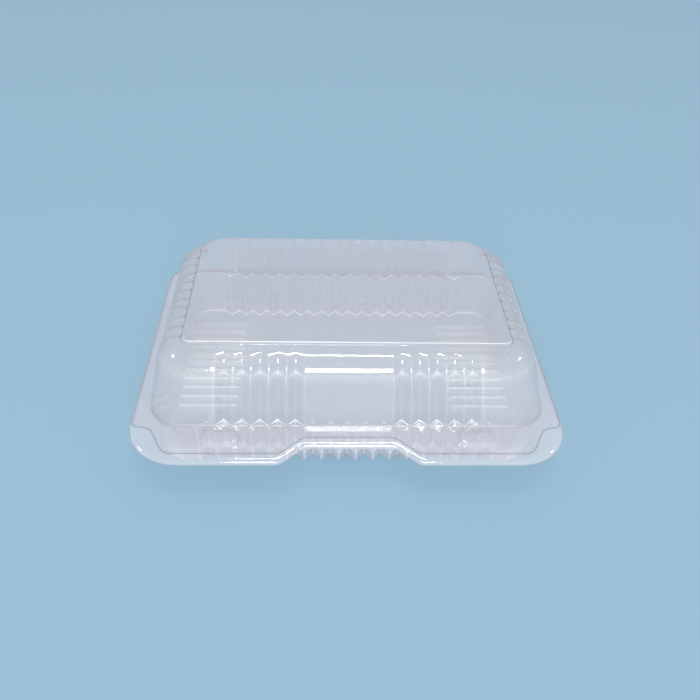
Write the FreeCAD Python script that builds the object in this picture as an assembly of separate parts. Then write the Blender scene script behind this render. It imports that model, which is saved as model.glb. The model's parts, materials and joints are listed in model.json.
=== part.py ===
import FreeCAD, Part
import math
import os
from collections import namedtuple

# A clear hinged clamshell pack, thermoformed from one plastic sheet (millimetres).
# The base tray and the lid are the two halves of the sheet, joined by a fold at the back.
# X runs across the pack, the front with the thumb notch faces -Y, Z is up.
# The origin is under the middle of the tray, on the surface that the pack stands on.

# Sheet; places nearer to each other than same_place are one
wall = 0.4
nest_gap = 0.3
same_place = 1e-6

# Overall levels and flanges
flange_height = 31.5
lid_top_height = 61.5
hinge_y = 92.5
base_front_y = -92.5
base_half_width = 122.0
base_front_corner = 30.0
flange_back_corner = 15.0
rim_drop = 2.0
lid_step_front = 6.5
lid_step_side = 1.5

# Thumb notch in both flanges
notch_depth = 12.0
notch_half_top = 25.0
notch_half_mouth = 38.0
notch_round = 6.0

# Cut-outs in the front corners of the lid's flange
corner_cut = 20.0
corner_cut_round = 8.0
corner_cut_slant = 0.8

# Snap buttons: a boss in the base's flange, and the lid's boss nests over it
button_length = 20.0
button_width = 10.0
button_height = 2.6
button_round = 3.5
button_x = 71.0
button_setback = 17.0
button_y = base_front_y + button_setback

# Flutes: V grooves pressed into the walls
flute_pitch = 10.0
flute_depth = 5.0
back_flute_count_base = 17
back_flute_count_lid = 15
front_flute_count_base = 17
front_flute_count_lid_side = 5
lid_panel_half_width = 25.0
plain_end = 0.5

# Mouth of the tray, which the foot of the lid's dome follows
side_flange_width = 9.0
front_flange_width = 27.0
back_flange_width = 5.0
mouth_half_width = base_half_width - side_flange_width
mouth_front_y = base_front_y + front_flange_width
mouth_back_y = hinge_y - back_flange_width
mouth_corner = 17.0

# Tray floor: the walls lean in from the mouth
side_lean = 5.0
front_lean = 2.5
back_lean = 3.5
floor_half_width = mouth_half_width - side_lean
floor_front_y = mouth_front_y + front_lean
floor_back_y = mouth_back_y - back_lean
floor_corner = 14.0
side_rib_pitch = 8.4
side_rib_count = 11
side_rib_back_margin = 21.0
side_rib_depth = 3.0
floor_rib_height = 2.4
floor_rib_width = 4.6
floor_rib_inner_x = 66.0

# Lid dome: foot, shoulder and a sloping band up to the top panel
dome_corner = 20.0
shoulder_drop = 6.5
shoulder_side_lean = 3.5
shoulder_front_lean = 16.5
shoulder_corner = 26.0
shoulder_back_corner = 22.0
foot_back_corner = 16.0
band_drop = 1.9
band_side_lean = 10.0
band_front_lean = 26.5
band_corner = 14.0
band_back_corner = 24.0
panel_half_width = 95.0
panel_front_lean = 38.5
panel_back_lean = 1.0
panel_corner = 3.0
panel_back_corner = 18.0
shoulder_rib_pitch = 9.2
shoulder_rib_count = 10
shoulder_rib_back_margin = 21.6
shoulder_rib_depth = 2.4
shoulder_rib_sink = 0.8

Level = namedtuple("Level", "z half front back corner back_corner front_cut side_cut back_cut")
Grooves = namedtuple("Grooves", "front side back side_pitch side_sink")


def centres(count, pitch):
    """Evenly spaced groove centres, balanced about the middle."""
    return [(i - (count - 1) / 2) * pitch for i in range(count)]


def lid_front_centres():
    """Groove centres each side of the lid's plain middle panel."""
    first = lid_panel_half_width + flute_pitch / 2
    right = [first + i * flute_pitch for i in range(front_flute_count_lid_side)]
    return [-x for x in reversed(right)] + right


def rib_centres(last, count, pitch):
    """Groove centres on a side, from the front one to the last one at the back."""
    return [last - i * pitch for i in reversed(range(count))]


def side_rib_centres():
    """Groove centres of the tray's side walls."""
    return rib_centres(mouth_back_y - side_rib_back_margin, side_rib_count, side_rib_pitch)


def shoulder_rib_centres():
    """Groove centres of the lid's side shoulders."""
    last = mouth_back_y - shoulder_rib_back_margin
    return rib_centres(last, shoulder_rib_count, shoulder_rib_pitch)


def grooved_side(start, end, spots, width, depth):
    """Distances along and into a side: its ends, and the V grooves squeezed between them."""
    points = []
    for spot in spots:
        for along, into in ((spot - width / 2, 0.0), (spot, depth), (spot + width / 2, 0.0)):
            if not points or along - points[-1][0] > same_place:
                points.append((along, into))
    first = points[0][0]
    last = points[-1][0]
    low = max(first, start + plain_end)
    high = min(last, end - plain_end)
    scale = (high - low) / (last - first)
    placed = [(low + (along - first) * scale, into) for along, into in points]
    return [(start, 0.0)] + placed + [(end, 0.0)]


def level_edges(level, grooves, inset):
    """Edges of one level's outline as point lists, two points a line and three an arc."""
    half = level.half - inset
    front = level.front + inset
    back = level.back - inset
    near = level.corner - inset
    far = level.back_corner - inset
    sink = grooves.side_sink
    front_side = grooved_side(-half + near, half - near, grooves.front, flute_pitch, level.front_cut)
    back_side = grooved_side(-half + far, half - far, grooves.back, flute_pitch, level.back_cut)
    end_side = grooved_side(
        front + near, back - far, grooves.side, grooves.side_pitch, level.side_cut)
    ways = (
        (front_side, lambda a, d: (a, front + d, level.z)),
        (end_side, lambda a, d: (half - d, a, level.z - d * sink)),
        (back_side[::-1], lambda a, d: (a, back - d, level.z)),
        (end_side[::-1], lambda a, d: (-half + d, a, level.z - d * sink)),
    )
    turns = (
        (half - near, front + near, near, -45),
        (half - far, back - far, far, 45),
        (-half + far, back - far, far, 135),
        (-half + near, front + near, near, 225),
    )
    edges = []
    for (side, place), (cx, cy, radius, angle) in zip(ways, turns):
        spots = [FreeCAD.Vector(*place(a, d)) for a, d in side]
        edges += list(zip(spots, spots[1:]))
        arc = [math.radians(angle + turn) for turn in (-45, 0, 45)]
        edges.append(tuple(
            FreeCAD.Vector(cx + radius * math.cos(a), cy + radius * math.sin(a), level.z)
            for a in arc))
    return edges


def edge_shape(points):
    """A straight edge through two points or an arc through three."""
    if len(points) == 2:
        return Part.makeLine(*points)
    return Part.Arc(*points).toShape()


def facet(*corners):
    """A flat face through its corners."""
    return Part.Face(Part.makePolygon(list(corners) + [corners[0]]))


def strip(lower, upper):
    """Faces between two matching edges of neighbouring levels."""
    if len(lower) == 3:
        return [Part.makeRuledSurface(edge_shape(lower), edge_shape(upper))]
    a, b = lower
    d, c = upper
    lift = (b - a).cross(d - a)
    if abs(lift.dot(c - a)) < same_place * lift.Length:
        return [facet(a, b, c, d)]
    return [facet(a, b, c), facet(a, c, d)]


def stacked(levels, grooves, inset):
    """A closed solid whose outline passes through each level in turn."""
    rings = [level_edges(level, grooves, inset) for level in levels]
    faces = []
    for lower, upper in zip(rings, rings[1:]):
        for low, high in zip(lower, upper):
            faces += strip(low, high)
    for ring in (rings[0], rings[-1]):
        faces.append(Part.Face(Part.Wire([edge_shape(points) for points in ring])))
    shell = Part.makeShell(faces)
    shell.sewShape()
    solid = Part.makeSolid(shell)
    if solid.Volume < 0:
        solid.reverse()
    return solid


def rounded_wire(corners, z):
    """A closed outline through (x, y, radius) corners, each rounded by its radius."""
    spots = [FreeCAD.Vector(x, y, z) for x, y, radius in corners]
    edges = []
    ends = []
    for i, (x, y, radius) in enumerate(corners):
        here = spots[i]
        before = (spots[i - 1] - here).normalize()
        after = (spots[(i + 1) % len(spots)] - here).normalize()
        half_angle = before.getAngle(after) / 2
        run = radius / math.tan(half_angle)
        middle = (before + after).normalize() * (radius / math.sin(half_angle) - radius)
        edges.append(Part.Arc(here + before * run, here + middle, here + after * run).toShape())
        ends.append((here + before * run, here + after * run))
    for i, (begin, finish) in enumerate(ends):
        edges.append(Part.makeLine(finish, ends[(i + 1) % len(ends)][0]))
    return Part.Wire(Part.__sortEdges__(edges))


def plate(wire, thickness):
    """A flat plate of the sheet's thickness, upwards from its outline."""
    return Part.Face(wire).extrude(FreeCAD.Vector(0, 0, thickness))


def base_flange_corners(inset):
    """Corners of the base's flange, moved in by an inset all round."""
    half = base_half_width - inset
    front = base_front_y + inset
    right = [
        (notch_half_top + inset, front + notch_depth, notch_round + inset),
        (notch_half_mouth + inset, front, notch_round - inset),
        (half, front, base_front_corner - inset),
        (half, hinge_y - inset, flange_back_corner - inset),
    ]
    return mirrored(right)


def lid_flange_corners():
    """Corners of the lid's flange, with a cut-out at each front corner."""
    half = base_half_width - lid_step_side
    front = base_front_y + lid_step_front
    right = [
        (notch_half_top, front + notch_depth, notch_round),
        (notch_half_mouth, front, notch_round),
        (half - corner_cut, front, corner_cut_round),
        (half - corner_cut / 2, front + corner_cut - corner_cut_slant, corner_cut_round),
        (half, front + corner_cut, corner_cut_round / 2),
        (half, hinge_y, flange_back_corner),
    ]
    return mirrored(right)


def mirrored(right):
    """The right half's corners from front to back, then the same on the left."""
    return right + [(-x, y, radius) for x, y, radius in reversed(right)]


def buttons(z, extra, height):
    """Solids for both snap buttons, straight-sided so that they grip, larger by extra."""
    half_x = button_length / 2 + extra
    half_y = button_width / 2 + extra
    shapes = []
    for side in (-1, 1):
        x = side * button_x
        corners = [
            (x - half_x, button_y - half_y, button_round + extra),
            (x + half_x, button_y - half_y, button_round + extra),
            (x + half_x, button_y + half_y, button_round + extra),
            (x - half_x, button_y + half_y, button_round + extra),
        ]
        shapes.append(plate(rounded_wire(corners, z), height))
    return shapes


def floor_rib(side, y, height, inset):
    """A low roof-shaped rib on the floor, from inside the side wall towards the middle."""
    outer = side * (floor_half_width - side_rib_depth - wall / 2 - inset)
    inner = side * (floor_rib_inner_x + inset)
    half = floor_rib_width / 2 - inset
    a = FreeCAD.Vector(outer, y - half, 0)
    b = FreeCAD.Vector(inner, y - half, 0)
    c = FreeCAD.Vector(inner, y + half, 0)
    d = FreeCAD.Vector(outer, y + half, 0)
    e = FreeCAD.Vector(outer - side * inset, y, height)
    f = FreeCAD.Vector(inner + side * half, y, height)
    shell = Part.makeShell([
        facet(a, b, c, d), facet(a, b, f, e), facet(c, d, e, f), facet(b, c, f), facet(a, e, d)])
    solid = Part.makeSolid(shell)
    if solid.Volume < 0:
        solid.reverse()
    return solid


def floor_ribs(height, inset):
    """All floor ribs, one beside each groove of the side walls."""
    return [floor_rib(side, y, height, inset) for side in (-1, 1) for y in side_rib_centres()]


def base_levels(floor_z):
    """The tray's outline at its floor and at its mouth."""
    return [
        Level(floor_z, floor_half_width, floor_front_y, floor_back_y, floor_corner, floor_corner,
              flute_depth, side_rib_depth, flute_depth),
        Level(flange_height, mouth_half_width, mouth_front_y, mouth_back_y, mouth_corner,
              mouth_corner, flute_depth, 0.0, flute_depth),
    ]


def lid_levels(drop):
    """The lid's outline from its foot to its top panel, lowered by drop above the foot."""
    top = lid_top_height - drop
    return [
        Level(flange_height, mouth_half_width, mouth_front_y, mouth_back_y,
              dome_corner, foot_back_corner, flute_depth, 0.0, flute_depth),
        Level(top - shoulder_drop, mouth_half_width - shoulder_side_lean,
              mouth_front_y + shoulder_front_lean, mouth_back_y,
              shoulder_corner, shoulder_back_corner, flute_depth, shoulder_rib_depth, flute_depth),
        Level(top - band_drop, mouth_half_width - band_side_lean,
              mouth_front_y + band_front_lean, mouth_back_y,
              band_corner, band_back_corner, 0.0, shoulder_rib_depth, flute_depth / 2),
        Level(top, panel_half_width, mouth_front_y + panel_front_lean,
              mouth_back_y - panel_back_lean, panel_corner, panel_back_corner, 0.0, 0.0, 0.0),
    ]


def base_tray():
    """The lower half: tray, flange with its turned-down rim, and snap bosses."""
    grooves = Grooves(
        centres(front_flute_count_base, flute_pitch),
        side_rib_centres(),
        centres(back_flute_count_base, flute_pitch),
        side_rib_pitch,
        0.0)
    inset = wall * math.sqrt(2)
    tray = stacked(base_levels(0.0), grooves, 0.0)
    hollow = stacked(base_levels(wall), grooves, inset)
    low = flange_height - wall
    flange = plate(rounded_wire(base_flange_corners(0.0), low), wall)
    skirt = plate(rounded_wire(base_flange_corners(0.0), flange_height - rim_drop), rim_drop)
    core = plate(rounded_wire(base_flange_corners(wall), flange_height - rim_drop), rim_drop)
    shape = tray.fuse([flange, skirt.cut(core)] + buttons(low, 0.0, button_height))
    shape = shape.cut([hollow] + buttons(low - wall, -wall, button_height))
    shape = shape.fuse(floor_ribs(floor_rib_height, 0.0))
    return shape.cut(floor_ribs(floor_rib_height - wall, wall)).removeSplitter()


def lid():
    """The upper half: dome, flange and snap bosses that nest over the base's."""
    grooves = Grooves(
        lid_front_centres(),
        shoulder_rib_centres(),
        centres(back_flute_count_lid, flute_pitch),
        shoulder_rib_pitch,
        shoulder_rib_sink)
    inset = wall * math.sqrt(2)
    dome = stacked(lid_levels(0.0), grooves, 0.0)
    hollow = stacked(lid_levels(wall), grooves, inset)
    flange = plate(rounded_wire(lid_flange_corners(), flange_height), wall)
    rise = button_height - wall + nest_gap
    boss = buttons(flange_height, nest_gap + wall, rise + wall)
    socket = buttons(flange_height, nest_gap, rise)
    return dome.fuse([flange] + boss).cut([hollow] + socket).removeSplitter()


os.makedirs("parts", exist_ok=True)
for name, shape in (("base_tray", base_tray()), ("lid", lid())):
    box = shape.BoundBox
    print(name, shape.isValid(), len(shape.Solids), round(shape.Volume, 1),
          [round(v, 2) for v in (box.XMin, box.XMax, box.YMin, box.YMax, box.ZMin, box.ZMax)])
    shape.exportStep("parts/" + name + ".step")
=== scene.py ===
import json
import math

import bmesh
import bpy
import numpy as np
from mathutils import Matrix, Vector
from mathutils.geometry import delaunay_2d_cdt


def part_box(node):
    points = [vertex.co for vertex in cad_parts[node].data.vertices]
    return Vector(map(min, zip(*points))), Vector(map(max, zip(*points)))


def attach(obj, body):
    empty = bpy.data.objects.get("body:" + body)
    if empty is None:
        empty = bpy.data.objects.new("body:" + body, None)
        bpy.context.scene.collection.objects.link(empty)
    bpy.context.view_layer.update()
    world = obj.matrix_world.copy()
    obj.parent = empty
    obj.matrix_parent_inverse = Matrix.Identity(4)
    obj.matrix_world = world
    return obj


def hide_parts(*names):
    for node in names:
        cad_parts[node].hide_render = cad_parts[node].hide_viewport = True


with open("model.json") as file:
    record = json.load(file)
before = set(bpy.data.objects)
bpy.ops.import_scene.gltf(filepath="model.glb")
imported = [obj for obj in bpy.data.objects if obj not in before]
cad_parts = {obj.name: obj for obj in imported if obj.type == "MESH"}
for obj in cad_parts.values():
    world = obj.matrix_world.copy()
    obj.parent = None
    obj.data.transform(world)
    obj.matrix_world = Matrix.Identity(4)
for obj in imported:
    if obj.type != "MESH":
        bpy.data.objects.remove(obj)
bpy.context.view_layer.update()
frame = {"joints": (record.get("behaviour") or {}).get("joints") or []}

mm = 0.001

# Camera
# The pack was photographed from in front and above, a little to the left of its middle,
# with a normal lens held about half a metre away.
camera_place = Vector((-18.2, -360.4, 331.5)) * mm
camera_down = math.radians(39.58)
camera_turn = math.radians(-3.29)
camera_tilt = math.radians(2.52)
focal_pixels = 747.8
photo_pixels = 700

level_ahead = Vector((-math.sin(camera_turn), math.cos(camera_turn), 0))
level_right = Vector((math.cos(camera_turn), math.sin(camera_turn), 0))
ahead = level_ahead * math.cos(camera_down) - Vector((0, 0, math.sin(camera_down)))
above = level_ahead * math.sin(camera_down) + Vector((0, 0, math.cos(camera_down)))
right = level_right * math.cos(camera_tilt) + above * math.sin(camera_tilt)
above = above * math.cos(camera_tilt) - level_right * math.sin(camera_tilt)
camera = bpy.data.objects.new("camera", bpy.data.cameras.new("camera"))
camera.data.sensor_width = 36
camera.data.lens = focal_pixels / photo_pixels * camera.data.sensor_width
turn = Matrix((right, above, -ahead)).transposed().to_4x4()
camera.matrix_world = Matrix.Translation(camera_place) @ turn
bpy.context.scene.collection.objects.link(camera)
bpy.context.scene.camera = camera


# Tray
# The lower half of one thermoformed sheet of clear plastic. The mould presses V flutes into
# its front and back walls and ribs into its sides and floor; the flange around its mouth
# ends in a rolled rim, with a thumb notch and two snap bosses at the front.
hinge = [joint for joint in frame["joints"] if joint["name"] == "lid_hinge"][0]
hinge_y = hinge["pos_m"][1] / mm
flange_z = hinge["pos_m"][2] / mm
tray_low, tray_high = [np.array(corner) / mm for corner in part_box("base_tray")]
lid_low, lid_high = [np.array(corner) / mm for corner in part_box("lid")]
sheet = 0.35
seam = 0.05
flute_pitch = 10.0
flute_depth = 5.0
steps_a_groove = 16
# How white steep floor flanks are painted, as painted highlight.
slope_gleam = 0.25


def level(z, half, front, back, near, far, cuts=(0, 0, 0),
          ridge=(0, 0, 0), gleam=(0, 0, 0), crease=(0, 0, 0)):
    """One outline of the sheet: height, walls, front and back corner radii. Then, for its front,
    sides and back: groove depths, how white their ridges show as painted highlights (below zero,
    how dark, as painted shade), and how white the bend at this height shows as a painted highlight
    and how dark as a painted shade line."""
    return np.array([z, half, front, back, near, far, *cuts, *ridge, *gleam, *crease], dtype=float)


def rounded_rows(levels, bends, steps=5):
    """Rows of the sheet through its levels, each bend rounded over a run in millimetres."""
    rows = [levels[0]]
    for i in range(1, len(levels) - 1):
        here = levels[i]
        ends = []
        for other in (levels[i - 1], levels[i + 1]):
            length = np.linalg.norm((other - here)[:4])
            ends.append(here + (other - here) * min(0.48, bends[i - 1] / length))
        for t in np.linspace(0, 1, steps):
            row = ends[0] * (1 - t) ** 2 + here * 2 * t * (1 - t) + ends[1] * t ** 2
            # The painted highlight and painted shade marks of a bend peak at its middle and fade to
            # its ends.
            row[12:] = here[12:] * (1 - abs(2 * t - 1))
            rows.append(row)
    rows.append(levels[-1])
    return rows


def side_stations(start, end, zone, pitch, plain=5):
    """Places along a side: the plain ends, and even steps that meet each groove's ridge."""
    steps = int(round((zone[1] - zone[0]) / pitch)) * steps_a_groove
    fine = np.linspace(zone[0], zone[1], steps + 1)
    return np.concatenate([
        np.linspace(start, zone[0], plain, endpoint=False), fine,
        np.linspace(zone[1], end, plain + 1)[1:]])


def ring(row, zones, side_grooves, plain_middle=0.0, sink=0.0, turn_steps=12):
    """One row's points, with how far each is along its side, its groove depth and direction.
    Side grooves have their own last place and pitch, so their distances are stretched to fit."""
    z, half, front, back, near, far, front_cut, side_cut, back_cut = row[:9]
    marks = {place: row[9 + i::3] for i, place in enumerate(("front", "side", "back"))}
    last, pitch = side_grooves
    plain_groove = (0, 0, 0, 0, 0)
    points = []

    def side(stations, zone, place, way, cut, blank=0.0, stretched=False):
        where = "side" if stretched else ("front" if way[1] > 0 else "back")
        for a in stations:
            along = (a - last) * flute_pitch / pitch if stretched else a
            grooved = zone[0] - mm < a < zone[1] + mm and abs(a) >= blank
            ridge, gleam, crease = marks[where]
            groove = (along, cut * grooved, *way, ridge * grooved)
            points.append((*place(a), z, *groove, gleam, crease))

    def corner(cx, cy, radius, start):
        turns = {-90: ("front", "side"), 0: ("side", "back"),
                 90: ("back", "side"), 180: ("side", "front")}[start]
        for step in range(1, turn_steps):
            t = step / turn_steps
            a = math.radians(start + 90 * t)
            mark = marks[turns[0]] * (1 - t) + marks[turns[1]] * t
            points.append((cx + radius * math.cos(a), cy + radius * math.sin(a), z,
                           *plain_groove, *mark))

    across = side_stations(-half + near, half - near, zones[0], flute_pitch)
    depthwise = side_stations(front + near, back - far, zones[1], pitch)
    across_back = side_stations(-half + far, half - far, zones[2], flute_pitch)
    side(across, zones[0], lambda a: (a, front), (0, 1, 0), front_cut, plain_middle)
    corner(half - near, front + near, near, -90)
    side(depthwise, zones[1], lambda a: (half, a), (-1, 0, -sink), side_cut, stretched=True)
    corner(half - far, back - far, far, 0)
    side(across_back[::-1], zones[2], lambda a: (a, back), (0, -1, 0), back_cut)
    corner(-half + far, back - far, far, 90)
    side(depthwise[::-1], zones[1], lambda a: (-half, a), (1, 0, -sink), side_cut, stretched=True)
    corner(-half + near, front + near, near, 180)
    return np.array(points)


def rounded_outline(corners, steps=10):
    """A closed flat outline through (x, y, radius) corners, each turned by its radius."""
    outline = []
    for i, (x, y, radius) in enumerate(corners):
        here = Vector((x, y))
        before = (Vector(corners[i - 1][:2]) - here).normalized()
        after = (Vector(corners[(i + 1) % len(corners)][:2]) - here).normalized()
        half_angle = before.angle(after) / 2
        run = radius / math.tan(half_angle)
        centre = here + (before + after).normalized() * radius / math.sin(half_angle)
        start = here + before * run - centre
        sweep = math.pi - 2 * half_angle
        if before.x * after.y - before.y * after.x > 0:
            sweep = -sweep
        for step in range(steps + 1):
            a = sweep * step / steps
            turned = (start.x * math.cos(a) - start.y * math.sin(a),
                      start.x * math.sin(a) + start.y * math.cos(a))
            outline.append((centre.x + turned[0], centre.y + turned[1]))
    return np.array(outline)


def inside(points, loop):
    """Which flat points lie inside a closed loop."""
    x, y = points[:, 0], points[:, 1]
    result = np.zeros(len(points), dtype=bool)
    for (ax, ay), (bx, by) in zip(loop, np.roll(loop, -1, axis=0)):
        crosses = (ay > y) != (by > y)
        result ^= crosses & (x < (bx - ax) * (y - ay) / ((by - ay) or 1e-12) + ax)
    return result


def flat_faces(outer, hole, spare):
    """Triangles between a closed outline and a hole, through spare points, as point arrays."""
    loops = [outer] + ([hole] if hole is not None else [])
    points = [Vector(p[:2]) for loop in loops for p in loop]
    edges = []
    first = 0
    for loop in loops:
        edges += [(first + i, first + (i + 1) % len(loop)) for i in range(len(loop))]
        first += len(loop)
    points += [Vector(p) for p in spare]
    flat, _, faces, *_ = delaunay_2d_cdt(points, edges, [], 0, 1e-5)
    flat = np.array([tuple(p) for p in flat])
    middles = np.array([flat[list(face)].mean(axis=0) for face in faces])
    keep = inside(middles, outer[:, :2])
    if hole is not None:
        keep &= ~inside(middles, hole[:, :2])
    return flat, [tuple(face) for face, kept in zip(faces, keep) if kept]


class Sheet:
    """A thin formed sheet, gathered as points with their groove data and as faces."""

    def __init__(self):
        self.points = []
        self.faces = []

    def add(self, points, faces):
        first = len(self.points)
        self.points += [tuple(p) for p in points]
        self.faces += [tuple(first + i for i in face) for face in faces]

    def add_rows(self, rows):
        count = len(rows[0])
        faces = []
        for r in range(len(rows) - 1):
            for i in range(count):
                j = (i + 1) % count
                here, next_row = r * count, (r + 1) * count
                faces.append((here + i, here + j, next_row + j, next_row + i))
        self.add(np.concatenate(rows), faces)

    def add_flat(self, outer, hole, spare, height, crown_gleam=0.0):
        flat, faces = flat_faces(outer, hole, spare)
        x, y = flat.T
        reach = 0.3
        slope = np.hypot(height(x + reach, y) - height(x - reach, y),
                         height(x, y + reach) - height(x, y - reach)) / (2 * reach)
        points = np.zeros((len(flat), 11))
        points[:, :2] = flat
        points[:, 2] = height(x, y)
        # Painted highlights: the floor's rib flanks are painted whiter where they are steep, and
        # the rib crowns more so towards the front, where the lamps catch them.
        steep = 1.5
        points[:, 9] = np.clip(slope / steep, 0, 1) * slope_gleam
        crown = (points[:, 2] - points[:, 2].min()) / max(np.ptp(points[:, 2]), mm)
        points[:, 9] += crown ** 2 * crown_gleam * np.clip(0.6 - y / 60, 0.05, 1)
        self.add(points, faces)

    def piece(self, name, facing):
        """The sheet as an object, its faces turned so that flat stretches face up or down."""
        data = np.array(self.points)
        mesh = bpy.data.meshes.new(name)
        mesh.from_pydata((data[:, :3] * mm).tolist(), [], self.faces)
        for label, column in (("groove_along", 3), ("groove_depth", 4), ("ridge", 8),
                              ("gleam", 9), ("crease", 10)):
            layer = mesh.attributes.new(label, "FLOAT", "POINT")
            scale = mm if column < 8 else 1.0
            layer.data.foreach_set("value", np.ascontiguousarray(data[:, column] * scale))
        layer = mesh.attributes.new("groove_way", "FLOAT_VECTOR", "POINT")
        layer.data.foreach_set("vector", np.ascontiguousarray(data[:, 5:8]).ravel())
        shape = bmesh.new()
        shape.from_mesh(mesh)
        bmesh.ops.remove_doubles(shape, verts=shape.verts, dist=2e-6)
        bmesh.ops.recalc_face_normals(shape, faces=shape.faces)
        flat = max(shape.faces, key=lambda face: face.calc_area())
        if flat.normal.z * facing < 0:
            bmesh.ops.reverse_faces(shape, faces=shape.faces)
        shape.to_mesh(mesh)
        shape.free()
        mesh.shade_smooth()
        piece = bpy.data.objects.new(name, mesh)
        bpy.context.scene.collection.objects.link(piece)
        return piece


class Wire:
    """A node socket that can be reckoned with, in a shader or a geometry tree."""

    def __init__(self, tree, socket):
        self.tree = tree
        self.socket = socket

    def node(self, kind, settings=None, inputs=None, output=0):
        """Any node: its settings first, then the values or wires of its sockets."""
        made = self.tree.nodes.new(kind)
        for key, value in (settings or {}).items():
            setattr(made, key, value)
        for key, value in (inputs or {}).items():
            if isinstance(value, Wire):
                self.tree.links.new(value.socket, made.inputs[key])
            else:
                made.inputs[key].default_value = value
        return Wire(self.tree, made.outputs[output])

    def math(self, operation, *values):
        inputs = dict(enumerate((self,) + values))
        return self.node("ShaderNodeMath", {"operation": operation}, inputs)

    def __add__(self, other):
        return self.math("ADD", other)

    def __sub__(self, other):
        return self.math("SUBTRACT", other)

    def __mul__(self, other):
        return self.math("MULTIPLY", other)

    def __truediv__(self, other):
        return self.math("DIVIDE", other)

    def __rsub__(self, other):
        return self.math("MULTIPLY", -1.0).math("ADD", other)

    __radd__ = __add__
    __rmul__ = __mul__


def press_grooves(piece, pitch, width, offset, crispness, valleys, material):
    """Presses evenly spaced grooves into a sheet where its groove depth asks for them, and marks
    how far each point is pushed and where the lines of the ridges run."""
    line_sharpness = 40.0
    full_depth = 1e7
    tree = bpy.data.node_groups.new("pressed grooves", "GeometryNodeTree")
    for label, kind in (("Sheet", "Geometry"), ("Pitch", "Float"), ("Width", "Float"),
                        ("Offset", "Float"), ("Crispness", "Float"), ("Valleys", "Float"),
                        ("Finish", "Material")):
        tree.interface.new_socket(label, in_out="INPUT", socket_type="NodeSocket" + kind)
    tree.interface.new_socket("Sheet", in_out="OUTPUT", socket_type="NodeSocketGeometry")
    entry = tree.nodes.new("NodeGroupInput")
    size = {socket.name: Wire(tree, socket) for socket in entry.outputs if socket.name}
    start = size["Sheet"]

    def stored(name, kind):
        return start.node("GeometryNodeInputNamedAttribute", {"data_type": kind}, {"Name": name})

    turns = (stored("groove_along", "FLOAT") - size["Offset"]) / size["Pitch"]
    away = (turns - turns.math("ROUND")).math("ABSOLUTE") * size["Pitch"] / size["Width"] * 2.0
    wave = (away.math("MINIMUM", 1.0) * math.pi).math("COSINE") * size["Crispness"]
    depth = wave.math("ARCSINE") / size["Crispness"].math("ARCSINE") * 0.5 + 0.5
    push = depth * stored("groove_depth", "FLOAT")
    shift = start.node("ShaderNodeVectorMath", {"operation": "SCALE"}, {
        0: stored("groove_way", "FLOAT_VECTOR"), "Scale": push})
    moved = start.node("GeometryNodeSetPosition", {}, {"Geometry": start, "Offset": shift})
    wave = wave / size["Crispness"]
    # The ridge mark: thin lines along groove crests, and valleys by their share, that the material
    # paints as highlights, or as shade lines where the mark is below zero.
    crest = (wave * -1.0).math("MAXIMUM", 0.0).math("POWER", line_sharpness)
    valley = wave.math("MAXIMUM", 0.0).math("POWER", line_sharpness) * size["Valleys"]
    on_points = {"data_type": "FLOAT", "domain": "POINT"}
    marked = start.node("GeometryNodeStoreNamedAttribute", on_points, {
        "Geometry": moved, "Name": "ridge", "Value": (crest + valley) * stored("ridge", "FLOAT")})
    grooved = (stored("groove_depth", "FLOAT") * full_depth).math("MINIMUM", 1.0)
    marked = start.node("GeometryNodeStoreNamedAttribute", on_points, {
        "Geometry": marked, "Name": "push", "Value": depth * grooved})
    real = start.node("GeometryNodeRealizeInstances", {}, {"Geometry": marked})
    done = start.node("GeometryNodeSetMaterial", {}, {"Geometry": real, "Material": size["Finish"]})
    tree.links.new(done.socket, tree.nodes.new("NodeGroupOutput").inputs[0])
    modifier = piece.modifiers.new("pressed", "NODES")
    modifier.node_group = tree
    values = {"Pitch": pitch * mm, "Width": width * mm, "Offset": offset * mm,
              "Crispness": crispness, "Valleys": valleys, "Finish": material}
    for socket in tree.interface.items_tree:
        if socket.in_out == "INPUT" and socket.name in values:
            modifier[socket.identifier] = values[socket.name]


def settle(piece):
    """Turns a piece with its modifiers into a plain mesh."""
    graph = bpy.context.evaluated_depsgraph_get()
    mesh = bpy.data.meshes.new_from_object(piece.evaluated_get(graph))
    piece.modifiers.clear()
    piece.data = mesh


def thicken(piece, outward, edge_painted_shade):
    """Gives a sheet its wall, from the face that touches the other half outwards."""
    piece.data.materials.append(edge_painted_shade)
    wall = piece.modifiers.new("wall", "SOLIDIFY")
    wall.thickness = sheet * mm
    wall.offset = outward
    # The cut rim takes the edge material, painted dark grey as shade.
    wall.material_offset_rim = 1
    settle(piece)
    piece.data.shade_smooth()
    piece.data.set_sharp_from_angle(angle=math.radians(50))


def cut_edge():
    """The trimmed edge of the sheet, which gathers light and looks grey from above; that grey is
    painted shade.
    """
    material = bpy.data.materials.new("trimmed edge")
    material.use_nodes = True
    tree = material.node_tree
    shader = tree.nodes["Principled BSDF"]
    start = Wire(tree, None)
    place = start.node("ShaderNodeTexCoord", output=3)
    nicks = start.node("ShaderNodeTexNoise", {}, {"Vector": place, "Scale": 90.0, "Detail": 3.0})
    # Painted shade: the edge faces are painted dark grey, varied at random by the nicks.
    tone = start.node("ShaderNodeMix", {"data_type": "RGBA"}, {
        0: nicks, 6: (0.25, 0.27, 0.31, 1), 7: (0.42, 0.45, 0.50, 1)}, output=2)
    tree.links.new(tone.socket, shader.inputs["Base Color"])
    tree.links.new((nicks * 0.2 + 0.2).socket, shader.inputs["Roughness"])
    return material


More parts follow.
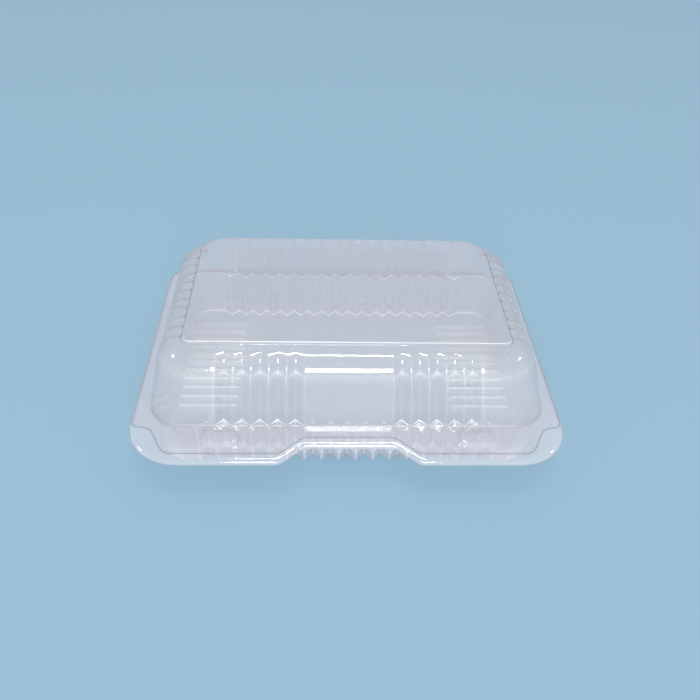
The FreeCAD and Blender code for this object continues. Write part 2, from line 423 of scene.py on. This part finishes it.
def clear_plastic(name, body_colour, veil_facing, veil_edge, foot_gleam, front_painted_light):
    """Clear formed sheet: a faint veil that thickens seen edge on, under a glossy skin. Painted
    highlights whiten the sheet where the mould bends it and along its groove ridges, with painted
    glints where grooves end at a bend; thin grey lines of painted shade run along its sharpest
    creases; and the front wall is painted whiter for the extra light it catches."""
    # Where the front wall's painted light begins and how far it fades in, forward and upward.
    front_begins, front_run = 0.02, 0.08
    wall_begins, wall_run = 0.033, 0.006
    # Height below which the veil is thicker, over the tray floor.
    near_floor_height = 0.01
    material = bpy.data.materials.new(name)
    material.use_nodes = True
    tree = material.node_tree
    tree.nodes.clear()
    start = Wire(tree, None)

    def drawn(label):
        return start.node("ShaderNodeAttribute", {"attribute_name": label}, output=2)

    def mixed(share, low, high):
        return start.node("ShaderNodeMix", {"data_type": "RGBA"}, {
            0: share, 6: low, 7: high}, output=2)

    place = start.node("ShaderNodeTexCoord", output=3)
    edge = start.node("ShaderNodeLayerWeight", {}, {"Blend": 0.5}, output=1)
    drift = start.node("ShaderNodeTexNoise", {}, {"Vector": place, "Scale": 14.0, "Detail": 2.0})
    haze = start.node("ShaderNodeTexNoise", {}, {"Vector": place, "Scale": 160.0, "Detail": 4.0})
    # Painted light from the marks: white gathers the painted highlights along bends and ridges and
    # the painted glints (spots and foot) where grooves meet a bend.
    ridge = drawn("ridge")
    gleam = drawn("gleam")
    foot = gleam.math("POWER", 4.0) * drawn("push") * foot_gleam
    spots = ridge.math("ABSOLUTE") * drawn("push") * 12.0
    white = gleam * (spots + gleam) + foot + ridge.math("MAXIMUM", 0.0)
    white = (white * (haze * 0.6 + 0.7)).math("MINIMUM", 1.0)
    # Painted shade: dark lines along creases and along ridges marked below zero.
    dark = (drawn("crease") + (ridge * -1.0).math("MAXIMUM", 0.0)).math("MINIMUM", 1.0)
    place_y, place_z = [
        start.node("ShaderNodeSeparateXYZ", {}, {0: place}, output=i) for i in (1, 2)]
    # Painted light: towards the front and above 33 mm, the sheet is painted whiter for the extra
    # light the front wall catches.
    forward = ((front_begins - place_y) / front_run).math("MAXIMUM", 0.0).math("MINIMUM", 1.0)
    raised = ((place_z - wall_begins) / wall_run).math("MAXIMUM", 0.0).math("MINIMUM", 1.0)
    forward = forward * raised
    thin = [0.95 * c for c in body_colour]
    tone = mixed(drift, (*thin, 1), (*body_colour, 1))
    whitened = (white + forward * front_painted_light).math("MINIMUM", 1.0)
    # Painted highlights turn the tone white and painted shade lines turn it near black.
    tone = mixed(whitened, tone, (0.95, 0.98, 1, 1))
    tone = mixed(dark, tone, (0.09, 0.10, 0.12, 1))
    veil = edge.math("POWER", 3.0) * veil_edge + veil_facing + (drift - 0.5) * 0.04
    # Below 10 mm, over the tray floor, the veil is thicker. The painted highlights and painted
    # shade lines thicken it too.
    near_floor = (place_z / near_floor_height).math("LESS_THAN", 1.0)
    veil = veil + white * 0.8 + dark * 0.8 + near_floor * 0.12
    bump = start.node("ShaderNodeBump", {}, {"Height": drift, "Strength": 0.2, "Distance": 0.001})
    film = start.node("ShaderNodeBsdfPrincipled", {}, {
        "Base Color": tone, "Roughness": 0.5, "Alpha": veil.math("MINIMUM", 0.95)})
    skin = start.node("ShaderNodeBsdfPrincipled", {}, {
        "Base Color": (1, 1, 1, 1), "Metallic": 1.0,
        "Roughness": haze * 0.06 + 0.05, "Normal": bump})
    gloss = edge.math("POWER", 5.0) * 0.9 + 0.05
    whole = start.node("ShaderNodeMixShader", {}, {0: gloss, 1: film, 2: skin})
    output = tree.nodes.new("ShaderNodeOutputMaterial")
    tree.links.new(whole.socket, output.inputs["Surface"])
    return material


def flange_corners(half, front, inset, ends):
    """Corners of a flange with a thumb notch, moved in by an inset; ends are its outer corners."""
    notch_half, mouth_half, notch_deep, notch_round = 25.0, 38.0, 12.0, 6.0
    right = [(notch_half + inset * 0.4, front + inset + notch_deep, notch_round),
             (mouth_half + inset * 0.4, front + inset, notch_round)] + ends
    return right + [(-x, y, radius) for x, y, radius in reversed(right)]


boss_x, boss_y = 71.0, tray_low[1] + 17.0


def boss_grid(spacing=0.8):
    """Spare points around both snap bosses, close enough to carry their shape."""
    xs = np.arange(-14, 14.1, spacing)
    ys = np.arange(-8.2, 8.3, spacing)
    return [(side * boss_x + x, boss_y + y) for side in (-1, 1) for x in xs for y in ys]


def boss_rise(x, y, height, grow):
    """Height of the snap bosses above the flange, with rounded sides."""
    round_end = 3.5
    side_run = 1.6
    dx = np.abs(np.abs(x) - boss_x) - (10.0 + grow - round_end)
    dy = np.abs(y - boss_y) - (5.0 + grow - round_end)
    outside = np.hypot(np.maximum(dx, 0), np.maximum(dy, 0))
    away = outside + np.minimum(np.maximum(dx, dy), 0) - round_end
    t = np.clip(-away / side_run, 0, 1)
    return height * t * t * (3 - 2 * t)


tray_half = tray_high[0]
tray_front = tray_low[1]
mouth = dict(half=tray_half - 9.0, front=tray_front + 27.0, back=hinge_y - 5.0)
side_rib_pitch = 8.4
side_rib_last = mouth["back"] - 21.0
side_rib_count = 11
side_zone = (side_rib_last - (side_rib_count - 0.5) * side_rib_pitch,
             side_rib_last + side_rib_pitch / 2)
tray_zones = ((-85, 85), side_zone, (-85, 85))
tray_top = flange_z - seam
cuts = (flute_depth, 3.0, flute_depth)
floor_z = sheet
half, front, back = mouth["half"] - sheet, mouth["front"] + sheet, mouth["back"] - sheet
# After the groove depths, each level gives painted marks: ridge highlights, bend highlights and
# crease lines of painted shade.
tray_levels = [
    level(tray_top, half + 2.6, front - 2.6, back + 2.6, 19.6, 19.6),
    level(tray_top, half + 1.8, front - 1.8, back + 1.8, 18.8, 18.8),
    level(tray_top, half, front, back, 17, 17, (flute_depth, 0, flute_depth),
          (0.6, 0.0, 0.1), (0.8, 0.3, 1.0)),
    level(10.0, half - 3.45, front + 1.73, back - 2.42, 14.9, 14.9, (flute_depth, 2.1, flute_depth),
          (0.6, 0.0, 0.05), (0.85, 0.0, 0.3)),
    level(floor_z, half - 5.0, front + 2.5, back - 3.5, 14, 14, cuts,
          (0.6, 0.0, 0.1), (0.7, 0.2, 0.9)),
    level(floor_z, half - 8.0, front + 5.5, back - 6.5, 11, 11, cuts),
]
tray_grooves = (side_rib_last, side_rib_pitch)
tray_bends = (0.1, 1.4, 7.5, 2.5)
tray_rows = [ring(row, tray_zones, tray_grooves) for row in rounded_rows(tray_levels, tray_bends)]
tray = Sheet()
tray.add_rows(tray_rows)


def floor_height(x, y):
    """The floor with its low side ribs, each with a rounded inner end."""
    rib_height, rib_width, rib_start = 2.3, 4.6, 66.0
    turns = (y - side_rib_last) / side_rib_pitch
    away = np.abs(turns - np.round(turns)) * side_rib_pitch * 2 / rib_width
    ridge = 0.5 + 0.5 * np.cos(np.pi * np.minimum(away, 1))
    run = np.clip((np.abs(x) - rib_start) / 3.0, 0, 1)
    row = (turns < 0.5) & (turns > 0.5 - side_rib_count)
    return floor_z + rib_height * ridge * run * run * (3 - 2 * run) * row


floor_grid = [(side * x, y) for side in (-1, 1)
              for x in np.arange(63.0, half - 11.0, 0.9)
              for y in np.arange(side_zone[0] - 2, side_zone[1] + 2, 0.55)]
floor_grid += [(x, y) for x in np.arange(-60.0, 60.1, 4.0)
               for y in np.arange(front + 14.0, back - 14.0, 4.0)]
tray.add_flat(tray_rows[-1], None, floor_grid, floor_height, crown_gleam=2.0)
rim_insets = ((4.4, 0.0), (3.6, 0.02), (1.8, 0.25), (0.7, 0.7), (0.15, 1.3), (0.0, 2.0))
rim_loops = []
for inset, drop in rim_insets:
    ends = [(tray_half - inset, tray_front + inset, 30.0 - inset),
            (tray_half - inset, hinge_y - inset * 0.3, 15.0 - inset * 0.3)]
    loop = rounded_outline(flange_corners(tray_half, tray_front, inset, ends))
    points = np.zeros((len(loop), 11))
    points[:, :2] = loop
    points[:, 2] = tray_top - drop
    rim_loops.append(points)
tray.add_rows(rim_loops)
tray.add_flat(rim_loops[0], tray_rows[0], boss_grid(),
              lambda x, y: tray_top + boss_rise(x, y, 2.2, 0.0))
clear_tray = clear_plastic("clear tray sheet", (0.90, 0.87, 0.91), 0.27, 0.2, 1.0, 0.0)
tray_piece = tray.piece("tray_sheet", facing=1)
press_grooves(tray_piece, flute_pitch, flute_pitch, 0.0, 0.985, 1.0, clear_tray)
settle(tray_piece)
edge_painted_shade = cut_edge()
thicken(tray_piece, -1, edge_painted_shade)
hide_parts("base_tray")
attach(tray_piece, "tray_body")


# Lid
# The upper half of the same sheet, drawn into a dome with a flat top panel. Flutes stiffen its
# front and back walls and short ribs its shoulders; the middle of the front stays plain.
# Its flange lies on the tray's, is cut away at the front corners and nests over the bosses.
lid_bottom = flange_z + seam
lid_top = lid_high[2]
lid_front = lid_low[1]
lid_half = lid_high[0]
lid_side_pitch = 9.2
lid_side_last = mouth["back"] - 21.6
lid_side_count = 10
lid_zone = (lid_side_last - (lid_side_count - 0.5) * lid_side_pitch,
            lid_side_last + lid_side_pitch / 2)
lid_zones = ((-75, 75), lid_zone, (-75, 75))
crown = lid_top - sheet
step_rise = 0.7
# After the groove depths, each level gives painted marks: ridge highlights (below zero, painted
# shade lines), bend highlights and crease lines of painted shade.
lid_levels = [
    level(lid_bottom, half + 2.6, front - 2.6, back + 2.6, 22.6, 18.6),
    level(lid_bottom, half + 1.8, front - 1.8, back + 1.8, 21.8, 17.8),
    level(lid_bottom, half + 0.3, front - 0.3, back + 0.3, 20.3, 16.3, (0.0003, 0, 0),
          (0, 0, 0), (0.6, 0, 0)),
    level(lid_bottom, half, front, back, 20, 16, (flute_depth, 0, flute_depth),
          (0.1, 0.0, 0.5), (0.6, 0.0, 0.05), (0.3, 1.0, 0.5)),
    level(crown - 6.5, half - 3.5, front + 16.5, back, 26, 22, (flute_depth, 1.2, flute_depth),
          (0.12, -0.4, 0.5), (0.35, 0.3, 0.1)),
    level(crown - 1.9, half - 10.0, front + 26.5, back - 0.2, 14, 24, (1.5, 1.2, 2.5),
          (0.1, -0.5, 0.5), (0.2, 0.0, 0.1)),
    level(crown - step_rise, half - 16.4, front + 36.5, back - 1.0, 5, 18.5, (0, 0.4, 0),
          (0.0, -0.8, 0.2), (0, 0, 1.0), (0.35, 0.9, 0.0)),
    level(crown, half - 17.6, front + 38.0, back - 1.8, 4, 18, (0, 0, 0),
          (0, 0, 0), (1.0, 0.1, 1.0)),
    level(crown, half - 21.0, front + 41.0, back - 4.0, 3, 17),
]
lid_bends = (0.1, 0.1, 1.2, 9.0, 4.0, 0.8, 1.0)
lid_rows = [ring(row, lid_zones, (lid_side_last, lid_side_pitch), plain_middle=25.0, sink=0.3)
            for row in rounded_rows(lid_levels, lid_bends)]
lid = Sheet()
lid.add_rows(lid_rows)
lid.add_flat(lid_rows[-1], None, [], lambda x, y: np.full(len(x), crown))
cut = 20.0
lid_ends = [(lid_half - cut, lid_front, 8.0),
            (lid_half - cut / 2, lid_front + cut - 0.8, 8.0),
            (lid_half, lid_front + cut, 4.0),
            (lid_half, hinge_y, 15.0)]
edge_loops = []
# Painted shade: a thin dark line along the lid flange's cut edge, fading inwards.
for inset, line in ((0.0, 0.8), (0.15, 0.6), (0.5, 0.0)):
    inner_ends = [(x - inset, y + inset * (y < 0) - inset * 0.3 * (y > 0), radius)
                  for x, y, radius in lid_ends]
    edge = rounded_outline(flange_corners(lid_half, lid_front, inset, inner_ends))
    points = np.zeros((len(edge), 11))
    points[:, :2] = edge
    points[:, 2] = lid_bottom
    points[:, 10] = line
    edge_loops.append(points)
lid.add_rows(edge_loops)
lid.add_flat(edge_loops[-1], lid_rows[0], boss_grid(),
             lambda x, y: lid_bottom + boss_rise(x, y, 2.5, 0.7))
clear_lid = clear_plastic("clear lid sheet", (0.84, 0.80, 0.86), 0.20, 0.3, 20.0, 0.6)
lid_piece = lid.piece("lid_sheet", facing=1)
press_grooves(lid_piece, flute_pitch, flute_pitch, 0.0, 0.985, 0.15, clear_lid)
settle(lid_piece)
thicken(lid_piece, 1, edge_painted_shade)
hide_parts("lid")
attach(lid_piece, "lid_body")


# Studio
# A seamless pale blue surface. Large soft lamps light the pack from above and in front, and
# smaller ones above, behind and beside it show only as glints in the plastic.
blue = (0.328, 0.515, 0.658, 1)
stage_mesh = bpy.data.meshes.new("floor")
reach = 6.0
stage_corners = [(-reach, -reach, 0), (reach, -reach, 0), (reach, reach, 0), (-reach, reach, 0)]
stage_mesh.from_pydata(stage_corners, [], [(0, 1, 2, 3)])
floor = bpy.data.objects.new("floor", stage_mesh)
bpy.context.scene.collection.objects.link(floor)


def seen_plainly(wire):
    """One for what the camera sees, directly, mirrored or through glass, and nothing for light."""
    rays = [wire.node("ShaderNodeLightPath", output=i) for i in (0, 3, 6)]
    return (rays[0] + rays[1] + rays[2]).math("MINIMUM", 1.0)


floor_paint = bpy.data.materials.new("blue paper")
floor_paint.use_nodes = True
paint = floor_paint.node_tree
paint.nodes.clear()
start = Wire(paint, None)
paper = start.node("ShaderNodeBsdfPrincipled", {}, {"Base Color": blue, "Roughness": 0.9})
glow = start.node("ShaderNodeEmission", {}, {"Color": blue, "Strength": 1.0})
flat_blue = start.node("ShaderNodeMixShader", {}, {0: seen_plainly(start) * 0.5, 1: paper, 2: glow})
paint.links.new(flat_blue.socket, paint.nodes.new("ShaderNodeOutputMaterial").inputs["Surface"])
floor.data.materials.append(floor_paint)

world = bpy.data.worlds.new("studio")
world.use_nodes = True
world.node_tree.nodes.clear()
sky = Wire(world.node_tree, None)
rise = sky.node("ShaderNodeSeparateXYZ", {}, {0: sky.node("ShaderNodeTexCoord")}, output=2)
daylight = sky.node("ShaderNodeBackground", {}, {
    "Color": (1, 1, 1, 1), "Strength": rise.math("MAXIMUM", 0.0) * 0.35 + 0.33})
backdrop = sky.node("ShaderNodeBackground", {}, {"Color": blue, "Strength": 1.0})
shown = sky.node("ShaderNodeMixShader", {}, {0: seen_plainly(sky), 1: daylight, 2: backdrop})
world.node_tree.links.new(
    shown.socket, world.node_tree.nodes.new("ShaderNodeOutputWorld").inputs["Surface"])
bpy.context.scene.world = world
bpy.context.scene.view_settings.view_transform = "Standard"


def lamp(name, place, aim, width, depth, power, lights=True, mirrored=True):
    """A soft box that hangs at a place and faces its aim."""
    light = bpy.data.lights.new(name, "AREA")
    light.shape = "RECTANGLE"
    light.size = width
    light.size_y = depth
    light.energy = power
    holder = bpy.data.objects.new(name, light)
    holder.location = place
    holder.rotation_euler = (Vector(aim) - Vector(place)).to_track_quat("-Z", "Y").to_euler()
    holder.visible_diffuse = lights
    holder.visible_glossy = mirrored
    bpy.context.scene.collection.objects.link(holder)


lamp("top box", (0.0, -0.5, 2.6), (0, 0, 0), 1.0, 0.8, 15.5, mirrored=False)
lamp("front box", (0.0, -2.6, 1.5), (0, 0, 0.03), 1.8, 1.2, 46.0, mirrored=False)
lamp("top glint", (0.0, -0.40, 1.2), (0, 0, 0), 0.45, 0.24, 6.5, lights=False)
lamp("back glint", (0.0, 0.55, 1.2), (0, 0, 0.03), 0.4, 0.05, 2.5, lights=False)
lamp("left glint", (-1.0, 0.2, 0.9), (0, 0, 0.03), 0.14, 0.14, 1.6, lights=False)
lamp("right glint", (1.0, 0.2, 0.9), (0, 0, 0.03), 0.14, 0.14, 1.6, lights=False)
